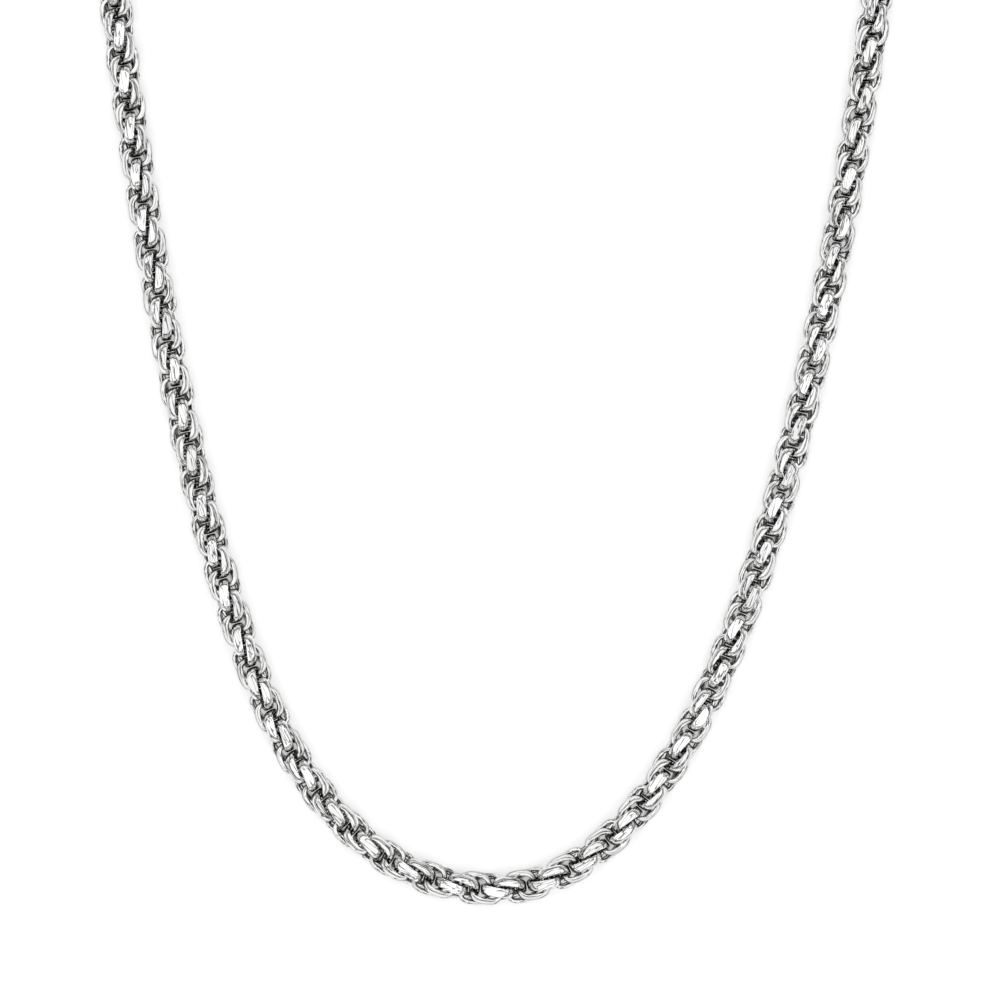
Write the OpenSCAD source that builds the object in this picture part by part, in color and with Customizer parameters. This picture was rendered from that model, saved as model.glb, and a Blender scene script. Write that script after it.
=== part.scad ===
// Rope chain necklace with a lobster clasp, laid out open on a flat surface.
// The rope is one long row of small C-shaped links. Every link passes through the two
// links before it and is turned a little further about the rope's axis, so the sides of
// the links wind round the rope as two strands, left-handed.
// The links are grouped in segments of equal length that hinge on each other.
// The origin is on the surface, below the middle of the layout. +Y runs from the front
// of the necklace towards the clasp, and +Z is up.

/* [Rope] */
// Diameter of the round wire of a link
wire_d = 0.7; // [0.6:0.01:0.72]
// Outside length of a link, along the rope
link_len = 4.6; // [4.56:0.01:4.64]
// Outside width of a link, which is the rope's diameter
link_w = 4.08; // [3.9:0.02:4.2]
// Distance from one link to the next along the rope
link_pitch = 1.55; // [1.54:0.005:1.56]
// Opening between the two ends of a link's wire
link_gap = 0.2; // [0.1:0.05:0.3]
// Turn of the links about the rope's axis on the left arm, in degrees per millimetre
twist_left = 28.25; // [27:0.25:32]
// The same on the right arm, which lies a little more tightly twisted
twist_right = 31.74; // [27:0.25:32]
// Length of rope from the front to where the tighter twist begins
twist_change = 31.5; // [0:0.5:60]
// Number of links in a segment
segment_links = 8; // [4:2:10]
// Number of segments on each arm, besides the front segment
arm_segments = 19; // [4:1:22]

/* [Layout] */
// Radius of the curve at the lowest point of the front
front_radius = 26; // [20:1:40]
// Catenary radius of the upper left arm
left_radius = 17.3; // [15:0.1:24]
// Length of rope over which the left arm comes to its upper radius
left_blend = 47; // [10:1:60]
// Catenary radius of the upper right arm
right_radius = 19.3; // [15:0.1:24]
// Length of rope over which the right arm comes to its upper radius
right_blend = 7; // [5:1:60]
// Length of rope from the front to where the arms begin to turn inwards
back_start = 140; // [120:1:160]
// How far each arm turns inwards by its end, in degrees
back_turn = 16; // [0:1:20]

/* [End caps] */
// Outside diameter of the cup that is soldered over each end of the rope
cap_d = 5; // [4.8:0.1:5.4]
// Clearance between the cup's bore and the rope
cap_clearance = 0.08; // [0.05:0.01:0.15]
// Depth of the cup's bore
cap_depth = 4.6; // [3:0.1:6]
// Thickness of the cup's end wall
cap_wall = 0.9; // [0.6:0.1:1.4]
// Wire of the eye on the cup
eye_wire = 0.9; // [0.7:0.05:1]
// Radius of the eye's centre line
eye_r = 1.35; // [1.3:0.05:1.6]

/* [Rings] */
// Wire of the jump ring that joins the clasp to its cap
jump_wire = 0.7; // [0.6:0.05:0.8]
// Outside diameter of the jump ring
jump_d = 5.1; // [4.9:0.1:5.3]
// Wire of the end ring that the clasp hooks into
end_ring_wire = 0.9; // [0.8:0.05:1]
// Outside diameter of the end ring
end_ring_d = 6; // [5.8:0.1:6.4]

/* [Clasp] */
// Thickness of the claw
claw_thick = 4; // [3.8:0.1:4]
// Radius of the claw's nose
nose_r = 3.4; // [3.3:0.05:3.5]
// Distance from the hole in the tail to the middle of the nose
nose_x = 9.2; // [9.1:0.05:9.3]
// Radius of the claw's opening
opening_r = 2.05; // [2:0.05:2.1]
// Diameter of the hole in the tail
tail_hole_d = 1.8; // [1.7:0.05:1.9]
// Thickness of the tail
tail_thick = 1.7; // [1.5:0.1:1.8]
// Diameter of the lever's pin
pin_d = 0.8; // [0.7:0.05:0.9]
// Thickness of the lever
lever_thick = 2; // [1.8:0.1:2.1]
// Running clearance round the lever and on its pin
clearance = 0.06; // [0.04:0.01:0.1]

/* [Hidden] */
$fn = 48;
wire_fn = 32;
sweep_fn = 96;

wire_r = wire_d / 2;
link_a = (link_len - wire_d) / 2;     // half the length of a link's centre line
link_b = (link_w - wire_d) / 2;       // half the width of a link's centre line
rope_r = link_w / 2;
step = link_pitch / 2;                // spacing of the points worked out along each arm
gap_angle = asin(link_gap / 2 / link_b);
first_phase = 56.5;                   // turn of the links at the front, in degrees
segment_steps = 2 * segment_links;
arm_steps = segment_steps * arm_segments + segment_links;
arm_len = arm_steps * step;
back_end = arm_len - 6;               // the last stretch is straight, inside the cap

cap_bore_r = rope_r + cap_clearance;
cap_over = 1.65;                      // the bore's end, past the last segment's end
cap_end = cap_over + cap_wall;
eye_x = cap_end + eye_r + eye_wire / 2 - 0.35;
cap_z = cap_d / 2;
lift_len = 30;                        // the rope rises to its cap over this length
jump_r = (jump_d - jump_wire) / 2;
end_ring_r = (end_ring_d - end_ring_wire) / 2;
claw_z = claw_thick / 2;

function ramp(x) = min(1, max(0, x));
function smooth(x) = ramp(x) * ramp(x) * (3 - 2 * ramp(x));

// Direction of an arm, s millimetres of rope from the front, as it rises from the front
function slack(s, radius, blend) = front_radius + (radius - front_radius) * ramp(s / blend);
function arm_angle(s, radius, blend) =
    atan2(s, slack(s, radius, blend))
    + back_turn * ramp((s - back_start) / (back_end - back_start));
// Points on an arm's centre line, one every half link pitch
function arm_points(radius, blend) = [
    for (k = 0, p = [0, 0]; k <= arm_steps; p = p + step * unit(arm_angle((k + 0.5) * step, radius, blend)),
        k = k + 1) p
];
function unit(angle) = [cos(angle), sin(angle)];

right_points = arm_points(right_radius, right_blend);
left_points = arm_points(left_radius, left_blend);

// side is 1 on the right arm and -1 on the left
function arm_point(side, k) = side > 0 ? right_points[k] : [-left_points[k].x, left_points[k].y];
function rope_angle(side, s) =
    side > 0 ? arm_angle(s, right_radius, right_blend) : -arm_angle(s, left_radius, left_blend);
function rope_z(s) = rope_r + (cap_z - rope_r) * smooth(1 + (s - arm_len) / lift_len);
// Turn of a link about the rope's axis, for s to the right of the front
function link_turn(s) = -first_phase - twist_left * min(s, twist_change)
    - twist_right * max(0, s - twist_change);

// Middle of the whole layout, which is moved to the origin
right_end = arm_point(1, arm_steps);
left_end = arm_point(-1, arm_steps);
right_out = max([for (p = right_points) p.x]) + rope_r;
left_out = max([for (p = left_points) p.x]) + rope_r;
jump_x = eye_x + jump_r;
tail_x = jump_x + sqrt(jump_r * jump_r - pow(jump_d / 2 - claw_z, 2));
layout_top = left_end.y + (tail_x + nose_x) * sin(-rope_angle(-1, arm_len)) + nose_r;
middle = [(right_out - left_out) / 2, (layout_top - rope_r) / 2];

function two_digits(k) = k < 10 ? str("0", k) : str(k);
function segment_name(side, k) = str(side > 0 ? "chain_right_" : "chain_left_", two_digits(k));

// ---- the rope ----

// Half of a ring of wire, or a part of it, about Z
module bend(radius, wire, from, sweep) {
    rotate([0, 0, from])
        rotate_extrude(angle = sweep, $fn = sweep_fn)
            translate([radius, 0])
                circle(d = wire, $fn = wire_fn);
}

// One C-shaped link: two half rings joined by short straight sides, open at one end
module link() {
    side = 2 * (link_a - link_b);
    translate([-side / 2, 0, 0])
        bend(link_b, wire_d, 90, 180);
    for (turned = [0, 1])
        mirror([0, turned, 0])
            translate([side / 2, 0, 0])
                bend(link_b, wire_d, -90, 90 - gap_angle);
    for (y = [-link_b, link_b])
        translate([-side / 2, y, 0])
            rotate([0, 90, 0])
                cylinder(h = side, d = wire_d, $fn = wire_fn);
}

// The link whose middle is k half pitches from the front
module placed_link(side, k) {
    p = arm_point(side, k);
    s = k * step;
    translate([p.x - middle.x, p.y - middle.y, rope_z(s)])
        rotate([0, 0, rope_angle(side, s)])
            rotate([link_turn(side * s), 0, 0])
                link();
}

module chain_front() {
    color("silver")
        for (side = [-1, 1])
            for (k = [1 : 2 : segment_links - 1])
                placed_link(side, k);
}

module chain_segment(side, segment) {
    first = segment_links + (segment - 1) * segment_steps;
    color("silver")
        for (k = [first + 1 : 2 : first + segment_steps - 1])
            placed_link(side, k);
}

// ---- the ends ----

// Children are drawn with X along the arm, away from the front, from the end of the rope
module at_end(side) {
    p = arm_point(side, arm_steps);
    angle = rope_angle(side, arm_len);
    translate([p.x - middle.x, p.y - middle.y, 0])
        rotate([0, 0, side > 0 ? angle : 180 + angle])
            children();
}

// Cup over the rope's end, with an eye that lies flat
module end_cap(side) {
    r = cap_d / 2;
    lip = 0.35;
    color("silver")
        at_end(side)
            translate([0, 0, cap_z]) {
                rotate([0, 90, 0])
                    rotate_extrude()
                        polygon([
                            [0, cap_over],
                            [cap_bore_r, cap_over],
                            [cap_bore_r, cap_over - cap_depth],
                            [r, cap_over - cap_depth],
                            [r, cap_over - cap_depth + 2 * lip],
                            [r - lip / 2, cap_over - cap_depth + 3 * lip],
                            [r - lip / 2, cap_end - 2 * lip],
                            [r - 2 * lip, cap_end],
                            [0, cap_end]
                        ]);
                translate([eye_x, 0, 0])
                    bend(eye_r, eye_wire, 0, 360);
            }
}

// Upright ring through the eye of the left cap and the hole in the clasp's tail
module jump_ring() {
    color("silver")
        at_end(-1)
            translate([jump_x, 0, jump_d / 2])
                rotate([90, 0, 0])
                    bend(jump_r, jump_wire, 0, 360);
}

// Upright ring in the eye of the right cap
module end_ring() {
    height = end_ring_d / 2;
    reach = sqrt(end_ring_r * end_ring_r - pow(height - cap_z, 2));
    color("silver")
        at_end(1)
            translate([eye_x + reach, 0, height])
                rotate([90, 0, 0])
                    bend(end_ring_r, end_ring_wire, 0, 360);
}

// ---- the clasp, with X from the hole in its tail to its nose ----

house_x = 4.1;                        // middle of the housing behind the claw
house_r = 2.5;
pivot = [4.2, -0.9];
hub_r = 1.05;
slot_back = 2.6;                      // back wall of the slot in the housing
slot_half = lever_thick / 2 + clearance;
gate_out = 3.05;                      // outside of the lever, from the claw's middle line
gate_in = 1.95;                       // inside of the lever
hook_end = 10.9;                      // end of the gap that the lever closes
tab_x = 5.4;

module at_clasp() {
    at_end(-1)
        translate([tail_x, 0, claw_z])
            children();
}

// Outline of the claw without its opening: nose and housing circles and the flanks
// that touch both
module claw_outline() {
    tilt = asin((nose_r - house_r) / (nose_x - house_x));
    translate([nose_x, 0])
        circle(r = nose_r);
    translate([house_x, 0])
        circle(r = house_r);
    polygon([
        [nose_x - nose_r * sin(tilt), nose_r * cos(tilt)],
        [house_x - house_r * sin(tilt), house_r * cos(tilt)],
        [house_x - house_r * sin(tilt), -house_r * cos(tilt)],
        [nose_x - nose_r * sin(tilt), -nose_r * cos(tilt)]
    ]);
}

// Side view of the claw, along Y, thickest at the middle and slimmer at nose and tail
module claw_profile() {
    t = claw_thick / 2;
    end = nose_x + nose_r + 0.1;
    polygon([
        [0.9, 0.7],
        [2.2, t - 0.45],
        [3.6, t],
        [8.2, t],
        [11, t - 0.25],
        [end, 1],
        [end, -1],
        [11, 0.25 - t],
        [8.2, -t],
        [3.6, -t],
        [2.2, 0.45 - t],
        [0.9, -0.7]
    ]);
}

module clasp_body() {
    wide = 20;
    color("silver")
        at_clasp() {
            difference() {
                intersection() {
                    linear_extrude(height = claw_thick, center = true)
                        claw_outline();
                    rotate([90, 0, 0])
                        linear_extrude(height = wide, center = true)
                            claw_profile();
                }
                // the opening that takes the ring
                linear_extrude(height = claw_thick + 1, center = true) {
                    translate([nose_x, 0.05])
                        circle(r = opening_r);
                    translate([nose_x - 1.9, 0.25])
                        circle(r = opening_r - 0.4);
                }
                // the gap that the lever closes
                translate([pivot.x + 1.6, -wide / 2 - 0.9, -claw_thick])
                    cube([hook_end - pivot.x - 1.6, wide / 2, 2 * claw_thick]);
                // the slot that holds the lever's root and its spring
                translate([slot_back, -wide / 2 + 0.75, -slot_half])
                    cube([4.2, wide / 2, 2 * slot_half]);
                // the pin's hole
                translate([pivot.x, pivot.y, -claw_thick])
                    cylinder(h = 2 * claw_thick, d = pin_d);
                // the hole in the tail
                translate([0, 0, -claw_thick])
                    cylinder(h = 2 * claw_thick, d = tail_hole_d);
            }
            difference() {
                union() {
                    translate([0, 0, -tail_thick / 2])
                        cylinder(h = tail_thick, r = 1.75);
                    translate([0, -1.1, -tail_thick / 2])
                        cube([2.4, 2.2, tail_thick]);
                }
                translate([0, 0, -claw_thick])
                    cylinder(h = 2 * claw_thick, d = tail_hole_d);
            }
        }
}

// The gate that closes the claw, with its thumb tab
module clasp_lever() {
    t = lever_thick;
    color("silver")
        at_clasp()
            difference() {
                union() {
                    translate([pivot.x, pivot.y, -t / 2])
                        cylinder(h = t / 2 + 0.1, r = hub_r);
                    translate([0, 0, -t / 2])
                        linear_extrude(height = t)
                            polygon([
                                [pivot.x + 0.9, -0.9],
                                [6.3, -1.25],
                                [8, -gate_in],
                                [10.1, -gate_in + 0.1],
                                [10.55, -gate_in - 0.15],
                                [10.5, -gate_out + 0.35],
                                [9.6, -gate_out],
                                [8.2, -gate_out - 0.1],
                                [tab_x + 1.5, -gate_out],
                                [tab_x + 0.7, -gate_out - 0.95],
                                [tab_x - 0.2, -gate_out - 1.05],
                                [tab_x - 0.7, -gate_out - 0.6],
                                [tab_x - 0.5, -2.4],
                                [pivot.x + 0.3, -1.88]
                            ]);
                }
                translate([pivot.x, pivot.y, -claw_thick])
                    cylinder(h = 2 * claw_thick, d = pin_d + 2 * clearance);
                // room for the spring beside the hub
                translate([pivot.x, pivot.y, 0.1])
                    cylinder(h = t, r = hub_r + 0.12);
            }
}

module clasp_pin() {
    color("silver")
        at_clasp()
            translate([pivot.x, pivot.y, -claw_z + 0.05])
                cylinder(h = claw_thick - 0.1, d = pin_d);
}

// Torsion spring on the pin, beside the lever's hub
module clasp_spring() {
    wire = 0.22;
    coil_r = 0.68;
    color("lightgray")
        at_clasp()
            translate([pivot.x, pivot.y, 0]) {
                for (turn = [0 : 2])
                    translate([0, 0, 0.27 + turn * 0.2])
                        bend(coil_r, wire, 0, 360);
                translate([0, coil_r, 0.67])
                    rotate([0, -90, 0])
                        cylinder(h = pivot.x - slot_back, d = wire, $fn = wire_fn);
            }
}

for (k = [1 : arm_segments]) {
    chain_segment(-1, k);
    chain_segment(1, k);
}
chain_front();
end_cap(-1);  // end_cap_left
end_cap(1);  // end_cap_right
jump_ring();
end_ring();
clasp_body();
clasp_lever();
clasp_pin();
clasp_spring();
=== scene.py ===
"""Looks of the rope chain necklace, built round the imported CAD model.

Every link is remade as polished, diamond-cut wire at the place and turn of its CAD link.
The caps and rings are remade as turned and drawn pieces, and the clasp as a softened casting.
"""
import math

import bmesh
import bpy
import numpy as np
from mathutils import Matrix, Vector


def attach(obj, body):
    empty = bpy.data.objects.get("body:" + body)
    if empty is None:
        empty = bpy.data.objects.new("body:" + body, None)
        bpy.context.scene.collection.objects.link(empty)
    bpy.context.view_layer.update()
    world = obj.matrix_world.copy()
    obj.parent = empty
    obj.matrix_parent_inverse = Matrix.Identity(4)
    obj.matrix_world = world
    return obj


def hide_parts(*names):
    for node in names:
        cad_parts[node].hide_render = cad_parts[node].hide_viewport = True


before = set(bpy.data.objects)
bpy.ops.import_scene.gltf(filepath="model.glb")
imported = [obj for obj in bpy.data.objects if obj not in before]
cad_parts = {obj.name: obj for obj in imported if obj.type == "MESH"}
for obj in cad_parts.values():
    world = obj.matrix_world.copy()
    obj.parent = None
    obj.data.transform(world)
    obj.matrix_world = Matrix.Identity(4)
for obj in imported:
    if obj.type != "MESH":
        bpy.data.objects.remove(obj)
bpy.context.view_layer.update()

MM = 0.001
rng = np.random.default_rng(7)

# ---- camera: straight down, as in the photograph ----

VIEW_SIZE = 132 * MM          # width of what the camera sees
VIEW_HEIGHT = 0.6
VIEW_X = -0.4 * MM
VIEW_Y = -67.85 * MM

camera = bpy.data.objects.new("camera", bpy.data.cameras.new("camera"))
bpy.context.scene.collection.objects.link(camera)
bpy.context.scene.camera = camera
camera.location = (VIEW_X, VIEW_Y, VIEW_HEIGHT)
camera.data.lens = camera.data.sensor_width * (VIEW_HEIGHT - 2 * MM) / VIEW_SIZE
camera.data.clip_start = 0.01
camera.data.clip_end = 20

# ---- node helpers ----


def add_node(tree, kind, **values):
    """A node of that kind. Values with a socket's name are set on it, the others on the node."""
    node = tree.nodes.new(kind)
    for name, value in values.items():
        if name in node.inputs:
            node.inputs[name].default_value = value
        else:
            setattr(node, name, value)
    return node


def new_material(name):
    material = bpy.data.materials.new(name)
    material.use_nodes = True
    tree = material.node_tree
    return material, tree, tree.nodes["Principled BSDF"]


def ramp(tree, source, *stops):
    """A colour ramp through (position, grey or colour) stops."""
    node = tree.nodes.new("ShaderNodeValToRGB")
    elements = node.color_ramp.elements
    while len(elements) > 1:
        elements.remove(elements[-1])
    for i, (position, value) in enumerate(stops):
        element = elements[0] if i == 0 else elements.new(position)
        element.position = position
        element.color = (value, value, value, 1) if np.isscalar(value) else (*value, 1)
    tree.links.new(source, node.inputs["Fac"])
    return node.outputs["Color"]


def noise(tree, source, scale, detail=3.0, rough=0.55):
    node = add_node(tree, "ShaderNodeTexNoise", Scale=scale, Detail=detail, Roughness=rough)
    tree.links.new(source, node.inputs["Vector"])
    return node.outputs["Fac"]


def bump(tree, shader, height, strength, distance):
    node = add_node(tree, "ShaderNodeBump", Strength=strength, Distance=distance)
    tree.links.new(height, node.inputs["Height"])
    tree.links.new(node.outputs["Normal"], shader.inputs["Normal"])


# ---- materials ----

SILVER = (0.86, 0.86, 0.853)
# the silver in painted half shade and in painted deep shade, for the wire deep in the rope
SILVER_HALF_SHADE = (0.5, 0.5, 0.495)
SILVER_DEEP_SHADE = (0.02, 0.02, 0.019)
CAST_SILVER = (0.68, 0.68, 0.675)
STEEL_GREY = (0.5, 0.5, 0.51)
EDGE_TINT = (0.3, 0.3, 0.3, 1)    # of the metals at a grazing angle

# painted shade: colour of a link by its depth in the rope, 0 outside and 1 at the axis, darker deeper
# in
DEPTH_SHADE = ((0.22, SILVER), (0.45, SILVER_HALF_SHADE), (0.8, SILVER_DEEP_SHADE))


# brightness of a link's flats, by its random tone
FLAT_TONE = ((0, 0.7), (1, 0.95))

# The thin dark lines along the links: half their width in the noise's value, how fast the noise changes
# along, across and off the link, per mm, and how much of the colour is left in them.
LINE_HALF_WIDTH = 0.038
FLAT_SCALE, FLAT_LINE_DARK = (0.22, 2.2, 2.2), 0.16
WIRE_SCALE, WIRE_LINE_DARK = (0.22, 5.5, 1.8), 0.2


def dark_lined(tree, colour, local, scale, dark):
    """The colour with thin dark lines along the wire: contour lines of a stretched noise."""
    stretched = add_node(tree, "ShaderNodeMapping")
    stretched.inputs["Scale"].default_value = scale
    tree.links.new(local, stretched.inputs["Vector"])
    grain = noise(tree, stretched.outputs["Vector"], 1.0, 1.0)
    marks = ramp(tree, grain, (0.5 - LINE_HALF_WIDTH, 1), (0.49, dark), (0.51, dark), (0.5 + LINE_HALF_WIDTH, 1))
    both = add_node(tree, "ShaderNodeMix", data_type="RGBA", blend_type="MULTIPLY")
    both.inputs["Factor"].default_value = 1
    tree.links.new(colour, both.inputs["A"])
    tree.links.new(marks, both.inputs["B"])
    return both.outputs["Result"]


def link_wire_material():
    """Polished wire, bright outside, with painted shade that darkens it deep in the rope."""
    material, tree, shader = new_material("link_wire")
    shader.inputs["Metallic"].default_value = 1
    shader.inputs["Specular Tint"].default_value = EDGE_TINT
    depth = add_node(tree, "ShaderNodeAttribute", attribute_name="depth").outputs["Fac"]
    place = add_node(tree, "ShaderNodeTexCoord").outputs["Object"]
    local = add_node(tree, "ShaderNodeAttribute", attribute_name="in_link").outputs["Vector"]
    # painted shade darkens the wire by its depth in the rope; thin dark lines run along it
    colour = dark_lined(tree, ramp(tree, depth, *DEPTH_SHADE), local, WIRE_SCALE, WIRE_LINE_DARK)
    tree.links.new(colour, shader.inputs["Base Color"])
    smear = noise(tree, place, 1400)
    rough = ramp(tree, smear, (0.3, 0.04), (0.7, 0.11))
    tree.links.new(rough, shader.inputs["Roughness"])
    bump(tree, shader, noise(tree, place, 3500, 4), 0.12, 0.02 * MM)
    return material


def link_facet_material():
    """The diamond-cut flats: nearly a mirror, with the cutter's fine lines."""
    material, tree, shader = new_material("link_facet")
    shader.inputs["Metallic"].default_value = 1
    shader.inputs["Specular Tint"].default_value = EDGE_TINT
    tone = add_node(tree, "ShaderNodeAttribute", attribute_name="tone").outputs["Fac"]
    local = add_node(tree, "ShaderNodeAttribute", attribute_name="in_link").outputs["Vector"]
    colour = dark_lined(tree, ramp(tree, tone, *FLAT_TONE), local, FLAT_SCALE, FLAT_LINE_DARK)
    tree.links.new(colour, shader.inputs["Base Color"])
    place = add_node(tree, "ShaderNodeTexCoord").outputs["Object"]
    rough = ramp(tree, noise(tree, place, 900), (0.3, 0.05), (0.75, 0.13))
    tree.links.new(rough, shader.inputs["Roughness"])
    lines = add_node(tree, "ShaderNodeTexWave", Scale=9.0, Distortion=2.5, Detail=2.0)
    tree.links.new(local, lines.inputs["Vector"])
    bump(tree, shader, lines.outputs["Fac"], 0.05, 0.01 * MM)
    return material


def cast_material(name, tint, low, high, grain):
    """Polished metal with a faint haze of handling marks."""
    material, tree, shader = new_material(name)
    shader.inputs["Metallic"].default_value = 1
    shader.inputs["Specular Tint"].default_value = EDGE_TINT
    place = add_node(tree, "ShaderNodeTexCoord").outputs["Object"]
    haze = noise(tree, place, 500, 4, 0.6)
    dull = tuple(0.82 * value for value in tint)
    tree.links.new(ramp(tree, haze, (0.35, tint), (0.75, dull)), shader.inputs["Base Color"])
    tree.links.new(ramp(tree, haze, (0.3, low), (0.7, high)), shader.inputs["Roughness"])
    marks = add_node(tree, "ShaderNodeTexNoise", Scale=grain, Detail=5.0, Roughness=0.7, Distortion=1.5)
    tree.links.new(place, marks.inputs["Vector"])
    bump(tree, shader, marks.outputs["Fac"], 0.1, 0.015 * MM)
    return material


WIRE = link_wire_material()
FACET = link_facet_material()
CAST = cast_material("cast_silver", CAST_SILVER, 0.08, 0.2, 2600)
DRAWN = cast_material("drawn_silver", CAST_SILVER, 0.05, 0.13, 4200)
STEEL = cast_material("steel", STEEL_GREY, 0.18, 0.34, 5200)

# ---- the shape of one link, in mm, in its own plane: X along the rope, Y across ----

LINK_HALF_LENGTH = 1.94       # of the centre line
LINK_HALF_WIDTH = 1.87
LINK_ROUNDING = 2.9           # exponent of the centre line's superellipse
LINK_TWIST = 0.11             # turn of the wire about the rope's axis, against its lay, per mm
LINK_STEPS = 64               # round the link
WIRE_STEPS = 18               # round the wire
HALF_GAP = 0.1                # half the opening between the wire's two ends
END_R, SIDE_R = 0.35, 0.33    # half thickness of the wire in the link's plane
END_H, SIDE_H = 0.67, 0.66    # half thickness across that plane
END_SQUARE, SIDE_SQUARE = 3.4, 2.3    # exponents of the wire's section, 2 for an oval
CUT = 1.92                    # the diamond cut's distance from the rope's axis


def power(value, exponent):
    return np.sign(value) * np.abs(value) ** exponent


def link_shape():
    """The link before the diamond cut, as a bmesh."""
    turn = np.linspace(0, 2 * np.pi, 4001)
    x = LINK_HALF_LENGTH * power(np.cos(turn), 2 / LINK_ROUNDING)
    y = LINK_HALF_WIDTH * power(np.sin(turn), 2 / LINK_ROUNDING)
    run = np.concatenate([[0], np.cumsum(np.hypot(np.diff(x), np.diff(y)))])
    at = np.linspace(HALF_GAP, run[-1] - HALF_GAP, LINK_STEPS)
    px, py = np.interp(at, run, x), np.interp(at, run, y)
    near = 0.02
    tx = np.interp(at + near, run, x) - np.interp(at - near, run, x)
    ty = np.interp(at + near, run, y) - np.interp(at - near, run, y)
    length = np.hypot(tx, ty)
    out_x, out_y = ty / length, -tx / length
    side = np.clip((np.abs(py) / LINK_HALF_WIDTH - 0.25) / 0.6, 0, 1)
    side = side * side * (3 - 2 * side)
    round_wire = np.arange(WIRE_STEPS) * 2 * np.pi / WIRE_STEPS

    def twisted(x, y, z):
        turn = LINK_TWIST * x
        return x, y * np.cos(turn) - z * np.sin(turn), y * np.sin(turn) + z * np.cos(turn)

    bm = bmesh.new()
    rings = []
    for i in range(LINK_STEPS):
        exponent = 2 / (END_SQUARE + (SIDE_SQUARE - END_SQUARE) * side[i])
        r = END_R + (SIDE_R - END_R) * side[i]
        h = END_H + (SIDE_H - END_H) * side[i]
        u = r * power(np.cos(round_wire), exponent)
        w = h * power(np.sin(round_wire), exponent)
        rings.append([bm.verts.new(twisted(px[i] + out_x[i] * a, py[i] + out_y[i] * a, b))
                      for a, b in zip(u, w)])
    for ring, after in zip(rings, rings[1:]):
        for j in range(WIRE_STEPS):
            k = (j + 1) % WIRE_STEPS
            bm.faces.new((ring[j], ring[k], after[k], after[j]))
    bm.faces.new(rings[0][::-1])
    bm.faces.new(rings[-1])
    bmesh.ops.recalc_face_normals(bm, faces=bm.faces)
    return bm


LINK = link_shape()


def cut_link(up):
    """The link with flats cut across the top and underneath, with material 1.

    up is the way up in the link's own axes. Returns points, faces and their materials.
    """
    bm = LINK.copy()
    up = Vector(up)
    for sign in (-1, 1):
        geometry = bm.verts[:] + bm.edges[:] + bm.faces[:]
        cut = bmesh.ops.bisect_plane(bm, geom=geometry, plane_co=up * sign * CUT, plane_no=up * sign,
                                     clear_outer=True)
        border = [e for e in cut["geom_cut"] if isinstance(e, bmesh.types.BMEdge)]
        if border:
            for face in bmesh.ops.edgeloop_fill(bm, edges=border)["faces"]:
                face.material_index = 1
                face.normal_update()
                if face.normal.dot(up) * sign < 0:
                    face.normal_flip()
    bm.verts.index_update()
    points = np.array([v.co for v in bm.verts])
    faces = [[v.index for v in f.verts] for f in bm.faces]
    materials = [f.material_index for f in bm.faces]
    bm.free()
    return points, faces, materials

# ---- where each link is, read from the CAD links ----


def islands(obj):
    """The points of each separate solid in a CAD node."""
    count = len(obj.data.vertices)
    co = np.empty(count * 3)
    obj.data.vertices.foreach_get("co", co)
    co = co.reshape(-1, 3)
    merged, index = np.unique(np.round(co * 1e7).astype(np.int64), axis=0, return_inverse=True)
    index = index.ravel()
    ends = np.empty(len(obj.data.edges) * 2, np.int32)
    obj.data.edges.foreach_get("vertices", ends)
    a, b = index[ends[0::2]], index[ends[1::2]]
    label = np.arange(len(merged))
    while True:
        low = np.minimum(label[a], label[b])
        new = label.copy()
        np.minimum.at(new, a, low)
        np.minimum.at(new, b, low)
        new = new[new]
        if (new == label).all():
            break
        label = new
    points = merged * 1e-7
    return [points[label == k] for k in np.unique(label)]


def link_frame(points):
    """Centre of a link and its axes: X to the open end, Y across, Z off its plane."""
    middle = (points.max(0) + points.min(0)) / 2
    offset = points - points.mean(0)
    _, vectors = np.linalg.eigh(offset.T @ offset)
    normal, first, second = vectors[:, 0], vectors[:, 1], vectors[:, 2]
    flat = np.stack([offset @ first, offset @ second], 1)
    size = flat.max(0) - flat.min(0)
    long, wide = (first, second) if size[0] > size[1] else (second, first)
    along, across = offset @ long, offset @ wide
    centre = points.mean(0) + long * (along.max() + along.min()) / 2
    centre = centre + wide * (across.max() + across.min()) / 2
    centre = centre + normal * ((offset @ normal).max() + (offset @ normal).min()) / 2
    along = (points - centre) @ long
    across = np.abs((points - centre) @ wide)
    tip = along.max() - 0.3 * MM
    if across[along > tip].min() < across[along < -tip].min():
        long = -long
    return centre, long, wide, np.cross(long, wide)


WOBBLE = math.radians(0.7)    # how far the links lie off true, as real ones do
CUT_TILT = math.radians(2)    # how far the cutter's flats are off level
NOISE_SPREAD = 40             # mm of noise over which the links' dark lines start
SHARP = math.radians(24)      # edges of the links sharper than this stay sharp


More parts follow.
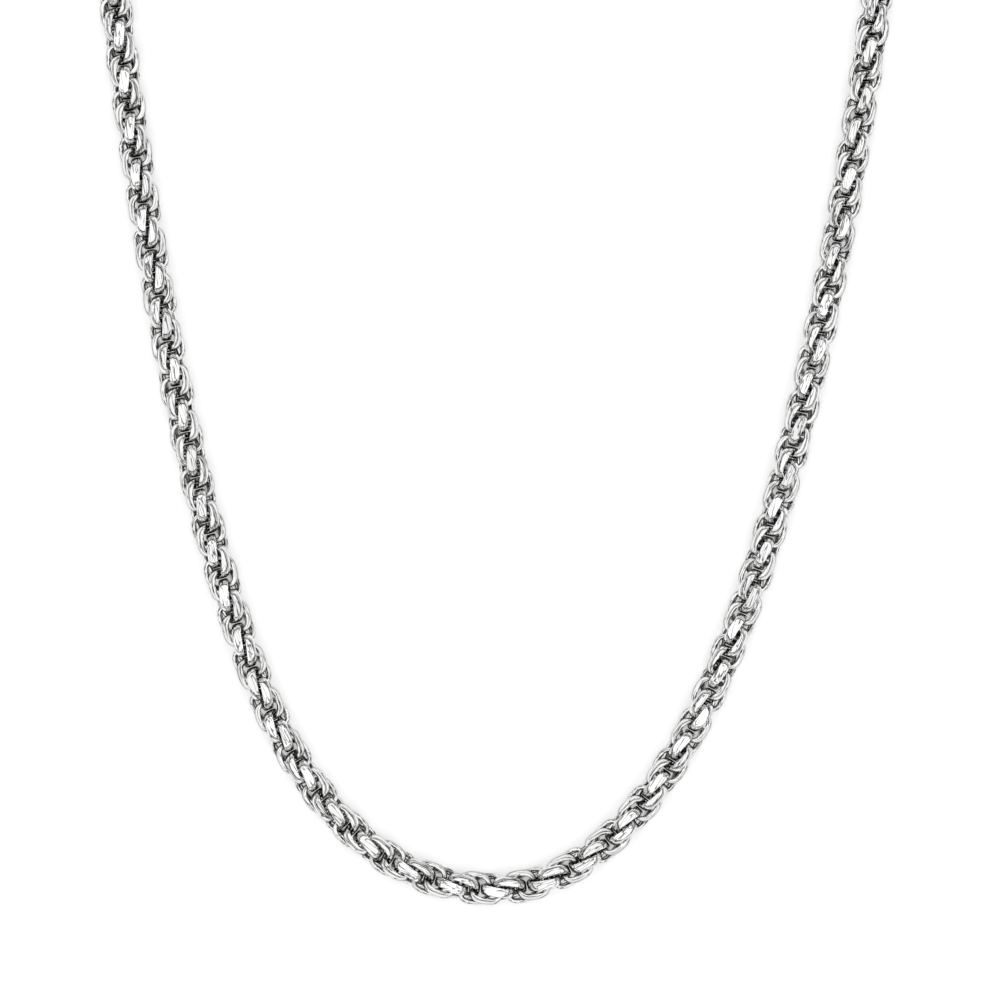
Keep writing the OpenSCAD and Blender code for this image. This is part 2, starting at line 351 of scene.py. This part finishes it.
def rope_piece(node):
    """The links of one CAD chain node, as one piece that rides on its body."""
    co, local, depth, tone, faces, materials = [], [], [], [], [], []
    count = 0
    for points in islands(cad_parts[node]):
        centre, long, wide, normal = link_frame(points)
        lean, yaw = rng.normal(0, WOBBLE, 2)
        axes = np.stack([long + wide * yaw, wide - long * yaw + normal * lean, normal - wide * lean])
        tilt = rng.normal(0, CUT_TILT, 2)
        link, link_faces, link_materials = cut_link(axes @ (*tilt, 1))
        co.append(link * MM @ axes + centre)
        # along the rope from a random start, out from the link's middle, off its plane
        out = np.abs(link[:, 0] / LINK_HALF_LENGTH) ** LINK_ROUNDING
        out = out + np.abs(link[:, 1] / LINK_HALF_WIDTH) ** LINK_ROUNDING
        out = LINK_HALF_WIDTH * out ** (1 / LINK_ROUNDING)
        local.append(np.stack([link[:, 0] + NOISE_SPREAD * rng.random(), out, link[:, 2]], 1))
        # 0 at the rope's outside, 1 at its axis, for the wire's painted shade
        depth.append(1 - np.hypot(link[:, 1], link[:, 2]) / CUT)
        tone.append(np.full(len(link), rng.random()))
        faces += [[k + count for k in face] for face in link_faces]
        materials += link_materials
        count += len(link)
    mesh = bpy.data.meshes.new("links_" + node)
    mesh.from_pydata(np.concatenate(co), [], faces)
    mesh.polygons.foreach_set("material_index", np.array(materials, np.int32))
    mesh.polygons.foreach_set("use_smooth", np.array(materials) == 0)
    mesh.update(calc_edges=True)
    mesh.validate()
    mesh.set_sharp_from_angle(angle=SHARP)
    for name, values in (("depth", depth), ("tone", tone)):
        layer = mesh.attributes.new(name, "FLOAT", "POINT").data
        layer.foreach_set("value", np.concatenate(values).astype(np.float32))
    layer = mesh.attributes.new("in_link", "FLOAT_VECTOR", "POINT").data
    layer.foreach_set("vector", np.concatenate(local).astype(np.float32).ravel())
    mesh.materials.append(WIRE)
    mesh.materials.append(FACET)
    piece = bpy.data.objects.new("links_" + node, mesh)
    bpy.context.scene.collection.objects.link(piece)
    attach(piece, node)
    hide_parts(node)


for node in sorted(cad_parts):
    if node.startswith("chain_"):
        rope_piece(node)

# ---- the ends: caps, rings and clasp ----


def new_piece(name, mesh, body, node, material):
    """A piece that rides on the body and stands for the CAD node."""
    mesh.materials.clear()
    mesh.materials.append(material)
    piece = bpy.data.objects.new(name, mesh)
    bpy.context.scene.collection.objects.link(piece)
    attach(piece, body)
    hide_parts(node)


def node_points(node):
    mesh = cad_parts[node].data
    co = np.empty(len(mesh.vertices) * 3)
    mesh.vertices.foreach_get("co", co)
    return co.reshape(-1, 3)


def revolved(profile, steps=96):
    """Points and faces of a closed outline of (along, radius) turned about X."""
    around = np.arange(steps) * 2 * np.pi / steps
    count = len(profile)
    points = [(x, r * math.cos(a), r * math.sin(a)) for a in around for x, r in profile]
    faces = []
    for i in range(steps):
        for j in range(count):
            k, after = (j + 1) % count, (i + 1) % steps
            faces.append((i * count + j, after * count + j, after * count + k, i * count + k))
    return np.array(points), faces


def ring_outline(radius, wire, steps=32):
    around = np.arange(steps) * 2 * np.pi / steps
    return [(wire * math.sin(a), radius + wire * math.cos(a)) for a in around]


def smooth_mesh(name, parts, crease=32):
    """One mesh of several (points, faces) parts, smooth but for its creases."""
    count = 0
    points, faces = [], []
    for part_points, part_faces in parts:
        points.append(part_points)
        faces += [[k + count for k in face] for face in part_faces]
        count += len(part_points)
    mesh = bpy.data.meshes.new(name)
    mesh.from_pydata(np.concatenate(points), [], faces)
    mesh.polygons.foreach_set("use_smooth", np.ones(len(faces), bool))
    bm = bmesh.new()
    bm.from_mesh(mesh)
    bmesh.ops.recalc_face_normals(bm, faces=bm.faces)
    bm.to_mesh(mesh)
    bm.free()
    mesh.set_sharp_from_angle(angle=math.radians(crease))
    return mesh


def ring_piece(node):
    """The ring of a CAD node, rounder."""
    points = node_points(node)
    middle = (points.max(0) + points.min(0)) / 2
    _, vectors = np.linalg.eigh((points - middle).T @ (points - middle))
    axes = np.stack([vectors[:, 0], vectors[:, 1], vectors[:, 2]])
    wire = np.abs((points - middle) @ axes[0]).max()
    radius = np.linalg.norm(points - middle, axis=1).max() - wire
    ring, faces = revolved(ring_outline(radius, wire), 128)
    mesh = smooth_mesh("round_" + node, [(ring @ axes + middle, faces)])
    new_piece("round_" + node, mesh, node, node, DRAWN)


# the caps, in mm, with X along the arm
CAP_BORE = 2.22               # radius inside
CAP_RADIUS = 2.5
CAP_MOUTH = -2.95             # X of the lip
CAP_FLOOR = 1.65              # X of the inside's end
CAP_END = 2.55                # X of the outside's end
CAP_DOME = 0.8                # radius that rounds the outside's end
EYE_X, EYE_R, EYE_WIRE = 4.0, 1.35, 0.45


def cap_outline():
    """Half section of the cup: a rolled lip, two turned grooves and a domed end."""
    outline = [(CAP_FLOOR, 0.0), (CAP_FLOOR, CAP_BORE - 0.1), (CAP_FLOOR - 0.1, CAP_BORE)]
    lip = (CAP_RADIUS - CAP_BORE) / 2
    turn = np.linspace(-90, 90, 9)
    outline += [(CAP_MOUTH + lip - lip * math.cos(math.radians(a)),
                 CAP_BORE + lip + lip * math.sin(math.radians(a))) for a in turn]
    outline += [(CAP_MOUTH + 0.62, CAP_RADIUS), (CAP_MOUTH + 0.7, CAP_RADIUS - 0.12)]
    outline += [(CAP_MOUTH + 0.86, CAP_RADIUS - 0.12), (CAP_MOUTH + 0.94, CAP_RADIUS - 0.02)]
    for groove in (1.55, 1.05):
        x = CAP_END - groove
        outline += [(x - 0.12, CAP_RADIUS - 0.02), (x - 0.04, CAP_RADIUS - 0.1)]
        outline += [(x + 0.04, CAP_RADIUS - 0.1), (x + 0.12, CAP_RADIUS - 0.02)]
    turn = np.linspace(0, 90, 13)
    outline += [(CAP_END - CAP_DOME + CAP_DOME * math.sin(math.radians(a)),
                 CAP_RADIUS - CAP_DOME - 0.02 + CAP_DOME * math.cos(math.radians(a))) for a in turn]
    outline.append((CAP_END, 0.0))
    return outline


def cap_piece(node, body):
    """The cup and eye of a CAD end cap."""
    points = node_points(node)
    flat = points[:, :2] - points[:, :2].mean(0)
    _, vectors = np.linalg.eigh(flat.T @ flat)
    along = np.array([*vectors[:, 1], 0])
    if along[1] < 0:
        along = -along
    across = np.cross((0, 0, 1), along)
    reach = points @ along
    side = points @ across
    origin = along * (reach.max() - (EYE_X + EYE_R + EYE_WIRE) * MM)
    origin = origin + across * (side.max() + side.min()) / 2 + np.array([0, 0, CAP_RADIUS * MM])
    axes = np.stack([along, across, (0, 0, 1)])
    cup, cup_faces = revolved(cap_outline())
    eye, eye_faces = revolved(ring_outline(EYE_R, EYE_WIRE), 64)
    eye = eye[:, [1, 2, 0]] + (EYE_X, 0, 0)
    parts = [(cup * MM @ axes + origin, cup_faces), (eye * MM @ axes + origin, eye_faces)]
    mesh = smooth_mesh("turned_" + node, parts)
    new_piece("turned_" + node, mesh, body, node, CAST)


def soft_piece(node, body, material, grain, rounds):
    """A copy of a CAD node with its edges softened, as in a casting.

    The grain is the size in mm of the new mesh, and each round of smoothing takes more off
    the edges.
    """
    shape = bpy.data.objects.new("soft_" + node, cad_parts[node].data.copy())
    bpy.context.scene.collection.objects.link(shape)
    remesh = shape.modifiers.new("grain", "REMESH")
    remesh.mode = "VOXEL"
    remesh.voxel_size = grain * MM
    remesh.use_smooth_shade = True
    soften = shape.modifiers.new("soften", "SMOOTH")
    soften.factor = 0.5
    soften.iterations = rounds
    ready = shape.evaluated_get(bpy.context.evaluated_depsgraph_get())
    mesh = bpy.data.meshes.new_from_object(ready)
    bpy.data.objects.remove(shape)
    new_piece("soft_" + node, mesh, body, node, material)


ring_piece("jump_ring")
ring_piece("end_ring")
cap_piece("end_cap_left", "chain_left_19")
cap_piece("end_cap_right", "chain_right_19")
soft_piece("clasp_body", "clasp", CAST, 0.07, 40)
soft_piece("clasp_lever", "clasp_lever", CAST, 0.05, 14)
soft_piece("clasp_pin", "clasp", DRAWN, 0.03, 3)
soft_piece("clasp_spring", "clasp", STEEL, 0.02, 1)

# ---- the studio ----

# Brightness of the surroundings by height, 0 at the horizon and 1 overhead. The dark
# bands draw the dark lines along the wire.
SKY = ((0.0, 0.8), (0.1, 0.75), (0.14, 0.05), (0.19, 0.05), (0.23, 0.75), (0.3, 0.75),
       (0.34, 0.03), (0.45, 0.03), (0.52, 0.7), (0.75, 0.95), (1.0, 1.0))
SKY_STRENGTH = 1.25
FLOOR_REACH = 4               # metres from the middle to each edge
FLOOR_DROP = 0.02 * MM        # below the lowest links


def studio():
    floor_mesh = bpy.data.meshes.new("floor")
    corners = [(x * FLOOR_REACH, y * FLOOR_REACH, 0) for x, y in ((-1, -1), (1, -1), (1, 1), (-1, 1))]
    floor_mesh.from_pydata(corners, [], [(0, 1, 2, 3)])
    floor = bpy.data.objects.new("floor", floor_mesh)
    floor.location.z = -FLOOR_DROP
    bpy.context.scene.collection.objects.link(floor)
    material, tree, shader = new_material("floor")
    shader.inputs["Base Color"].default_value = (0.9, 0.9, 0.9, 1)
    shader.inputs["Roughness"].default_value = 0.6
    shader.inputs["Specular IOR Level"].default_value = 0.2
    shader.inputs["Emission Color"].default_value = (1, 1, 1, 1)
    shader.inputs["Emission Strength"].default_value = 0.3
    floor_mesh.materials.append(material)

    world = bpy.data.worlds.new("studio")
    bpy.context.scene.world = world
    world.use_nodes = True
    tree = world.node_tree
    direction = add_node(tree, "ShaderNodeTexCoord").outputs["Generated"]
    split = add_node(tree, "ShaderNodeSeparateXYZ")
    tree.links.new(direction, split.inputs[0])
    grey = ramp(tree, split.outputs["Z"], *SKY)
    background = tree.nodes["Background"]
    background.inputs["Strength"].default_value = SKY_STRENGTH
    tree.links.new(grey, background.inputs["Color"])


studio()
bpy.context.scene.view_settings.view_transform = "Standard"
